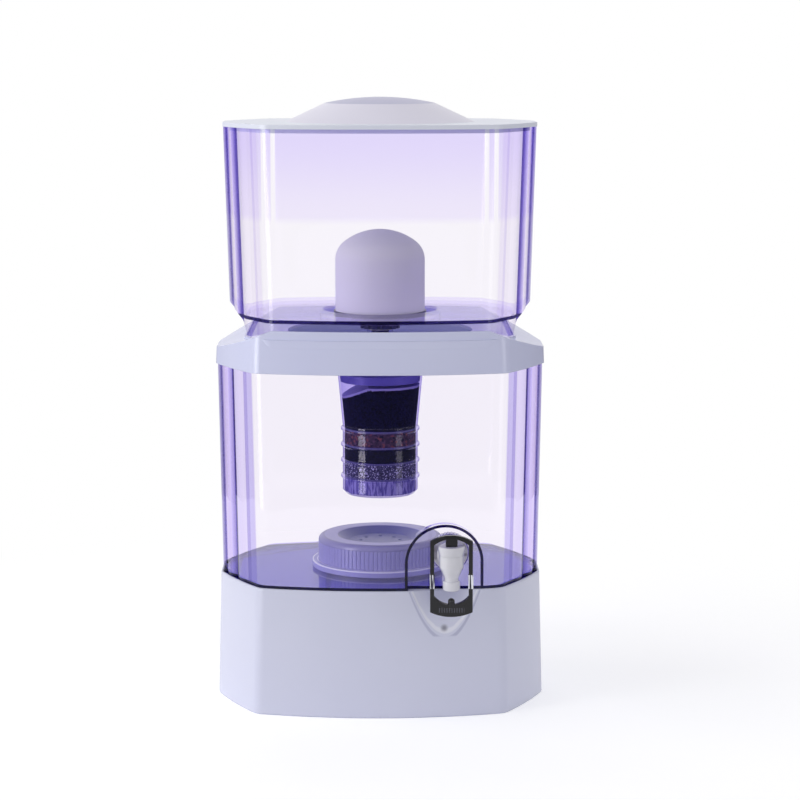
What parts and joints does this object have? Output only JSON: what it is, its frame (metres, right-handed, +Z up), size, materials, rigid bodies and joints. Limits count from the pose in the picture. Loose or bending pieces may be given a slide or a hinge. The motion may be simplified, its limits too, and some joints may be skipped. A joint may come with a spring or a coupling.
{
  "type": "gravity water filter",
  "caption": "Two-tank gravity water filter: ceramic dome, mineral cartridge, stone case and push tap on a hollow stand.",
  "frame": {"origin": "centre of the stand's lower rim, on the surface it rests on", "axes": "+Z up, -Y to the front with the tap, +X to the right seen from the front"},
  "size_m": [0.3288, 0.2847, 0.601],
  "materials": {
    "tank_plastic": "clear violet-tinted, polished",
    "white_plastic": "white, polished",
    "ceramic": "matte, unglazed",
    "dark_plastic": "dark blue, satin",
    "silicone": "translucent white",
    "case_plastic": "pale violet-white",
    "carbon": "black granules",
    "mineral_balls": "red-brown balls",
    "sand": "grey and white grains",
    "felt": "white filter felt",
    "foam": "frosted",
    "stones": "matte balls",
    "tap_plastic": "translucent white",
    "black_plastic": "black, glossy",
    "bright_metal": "bright",
    "steel": "stainless"
  },
  "bodies": {
    "stand": {"base": "white_plastic"},
    "lower_tank": {"lower_tank": "tank_plastic", "tap_body": "tap_plastic", "tap_bonnet": "tap_plastic", "tap_washer_outer": "silicone", "tap_washer_inner": "silicone", "tap_nut": "tap_plastic", "tap_spring": "steel"},
    "stone_case": {"case_tray": "case_plastic", "mineral_stones": "stones"},
    "stone_case_cap": {"case_cap": "case_plastic"},
    "collar": {"collar": "white_plastic"},
    "upper_tank": {"upper_tank": "tank_plastic", "ceramic_dome": "ceramic", "dome_dish": "dark_plastic", "dome_gasket": "silicone", "stem_washer": "silicone", "stem_nut": "dark_plastic"},
    "lid": {"lid": "white_plastic"},
    "cartridge_seat": {"cartridge_seal": "silicone"},
    "cartridge": {"cartridge_cap": "tank_plastic", "cartridge_cup": "tank_plastic", "cartridge_screen": "tank_plastic", "carbon_upper": "carbon", "mineral_balls": "mineral_balls", "carbon_lower": "carbon", "silica_sand": "sand", "separator_pads": "felt", "foam_pad": "foam"},
    "valve_stem": {"tap_stem": "black_plastic", "tap_plug": "silicone", "handle_pin": "steel"},
    "tap_handle": {"tap_handle": "black_plastic", "handle_trim": "bright_metal"}
  },
  "joints": [
    {"name": "lower_tank_lift", "type": "slide", "parent": "stand", "child": "lower_tank", "axis": [0, 0, 1], "range_m": [0, 0.05]},
    {"name": "case_lift", "type": "slide", "parent": "lower_tank", "child": "stone_case", "axis": [0, 0, 1], "range_m": [0, 0.015]},
    {"name": "case_cap_lift", "type": "slide", "parent": "stone_case", "child": "stone_case_cap", "axis": [0, 0, 1], "range_m": [0, 0.015]},
    {"name": "collar_lift", "type": "slide", "parent": "lower_tank", "child": "collar", "axis": [0, 0, 1], "range_m": [0, 0.04]},
    {"name": "upper_tank_lift", "type": "slide", "parent": "collar", "child": "upper_tank", "axis": [0, 0, 1], "range_m": [0, 0.19]},
    {"name": "lid_lift", "type": "slide", "parent": "upper_tank", "child": "lid", "axis": [0, 0, 1], "range_m": [0, 0.06]},
    {"name": "cartridge_drop", "type": "slide", "parent": "upper_tank", "child": "cartridge_seat", "axis": [0, 0, -1], "range_m": [0, 0.0091]},
    {"name": "cartridge_turn", "type": "hinge", "parent": "cartridge_seat", "child": "cartridge", "pos_m": [0, 0, 0.36], "axis": [0, 0, 1], "range_deg": [0, 1080]},
    {"name": "stem_slide", "type": "slide", "parent": "lower_tank", "child": "valve_stem", "axis": [0, 0, 1], "range_m": [0, 0.00225], "deforming": ["tap_spring"]},
    {"name": "handle_push", "type": "hinge", "parent": "valve_stem", "child": "tap_handle", "pos_m": [0.068, -0.1496, 0.1818], "axis": [1, 0, 0], "range_deg": [0, 20], "stiffness_Nm_per_rad": 0.15, "springref_deg": -17.19}
  ],
  "couplings": [
    {"joint": "cartridge_drop", "follows": "cartridge_turn", "m_per_rad": 0.00047746},
    {"joint": "stem_slide", "follows": "handle_push", "m_per_rad": 0.0063}
  ]
}
